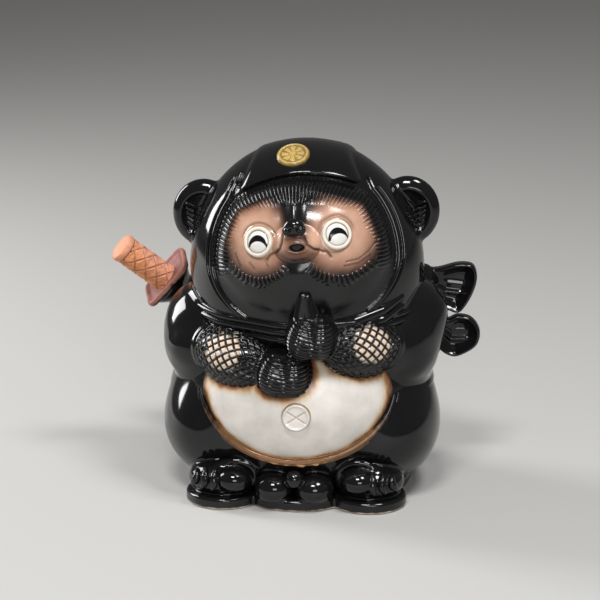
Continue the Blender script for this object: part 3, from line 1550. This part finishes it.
body_forms = [head_form, torso_form, sleeve_forms["right"], hip_forms["left"]]
black_piece("scabbard_mouth", mouth_form, [guard_form] + body_forms, joint=1.0, cell=0.55, room=9.0)
black_piece("scabbard", scabbard_form, [mouth_form] + body_forms, joint=1.5, cell=0.8)
black_piece("scabbard_tip", tip_form, [scabbard_form] + body_forms, joint=1.5, cell=0.7)

# The animal's own tail at the foot of the back

BRUSH_HALF = (22.0, 24.0, 21.0)
BRUSH_DEPTH = 0.9
tail_center = np.array([0.20 * torso_x, torso_center[1] + 0.80 * torso_y, floor_top + 0.26 * torso_z])


def brush_form(points):
    q = points - tail_center
    d = egg(tail_center, BRUSH_HALF)(points)
    count = (np.arctan2(q[:, 0], q[:, 2] + 40.0) * 60.0 + 1.2 * np.sin(q[:, 1] / 5.0)) / 3.6
    d = d + BRUSH_DEPTH * strokes_along(count, 1.2) * step(0.0, 6.0, q[:, 1])
    return np.maximum(d, floor_cut(points))


black_piece("tail", brush_form, [torso_form, base_form], joint=2.0, cell=0.65, room=4.0)

# Floor, light and camera, in metres

FLOOR_COLOR = (0.52, 0.515, 0.50, 1.0)
FLOOR_HALF = 6.0
FLOOR_ROUGHNESS = 0.7


def floor():
    mesh = bpy.data.meshes.new("floor")
    corners = [(x * FLOOR_HALF, y * FLOOR_HALF, 0.0) for x, y in ((-1, -1), (1, -1), (1, 1), (-1, 1))]
    mesh.from_pydata(corners, [], [(0, 1, 2, 3)])
    made = bpy.data.objects.new("floor", mesh)
    bpy.context.scene.collection.objects.link(made)
    material = bpy.data.materials.new("pale_floor")
    material.use_nodes = True
    shader = material.node_tree.nodes["Principled BSDF"]
    shader.inputs["Base Color"].default_value = FLOOR_COLOR
    shader.inputs["Roughness"].default_value = FLOOR_ROUGHNESS
    mesh.materials.append(material)


# Each lamp's place, width, height and power in watts
LAMPS = {
    "left_box": ((-1.18, 0.42, 0.66), 0.40, 0.80, 14.0),
    "right_box": ((0.62, -0.42, 1.66), 0.40, 0.40, 14.0),
    "front_box": ((-0.10, -0.95, 1.60), 0.46, 0.26, 16.0),
    "fill_box": ((0.45, -2.25, 0.95), 0.90, 0.60, 13.0),
}
LAMP_AIM = Vector((0.0, 0.0, 0.13))
SKY_COLOR = (1.0, 0.99, 0.97, 1.0)
SKY_STRENGTH = 0.14


def lamp(name, place, wide, tall, power):
    light = bpy.data.lights.new(name, "AREA")
    light.shape = "RECTANGLE"
    light.size = wide
    light.size_y = tall
    light.energy = power
    made = bpy.data.objects.new(name, light)
    made.location = place
    made.rotation_euler = (LAMP_AIM - Vector(place)).to_track_quat("-Z", "Y").to_euler()
    bpy.context.scene.collection.objects.link(made)


floor()
for name, values in LAMPS.items():
    lamp(name, *values)

world_light = bpy.data.worlds.new("studio")
bpy.context.scene.world = world_light
world_light.use_nodes = True
sky = world_light.node_tree.nodes["Background"]
sky.inputs["Color"].default_value = SKY_COLOR
sky.inputs["Strength"].default_value = SKY_STRENGTH

CAMERA_TURN = math.radians(5.5)
CAMERA_RISE = math.radians(15.0)
CAMERA_FAR = 1.54
CAMERA_AIM = Vector((-0.0017, 0.0, 0.126))
SENSOR_WIDTH = 36.0
LENS_LENGTH = 138.0
camera_data = bpy.data.cameras.new("camera")
camera_data.sensor_width = SENSOR_WIDTH
camera_data.lens = LENS_LENGTH
camera = bpy.data.objects.new("camera", camera_data)
back = Vector((
    math.sin(CAMERA_TURN) * math.cos(CAMERA_RISE),
    -math.cos(CAMERA_TURN) * math.cos(CAMERA_RISE),
    math.sin(CAMERA_RISE),
))
camera.location = CAMERA_AIM + CAMERA_FAR * back
camera.rotation_euler = back.to_track_quat("Z", "Y").to_euler()
bpy.context.scene.collection.objects.link(camera)
bpy.context.scene.camera = camera

bpy.context.scene.view_settings.view_transform = "Standard"
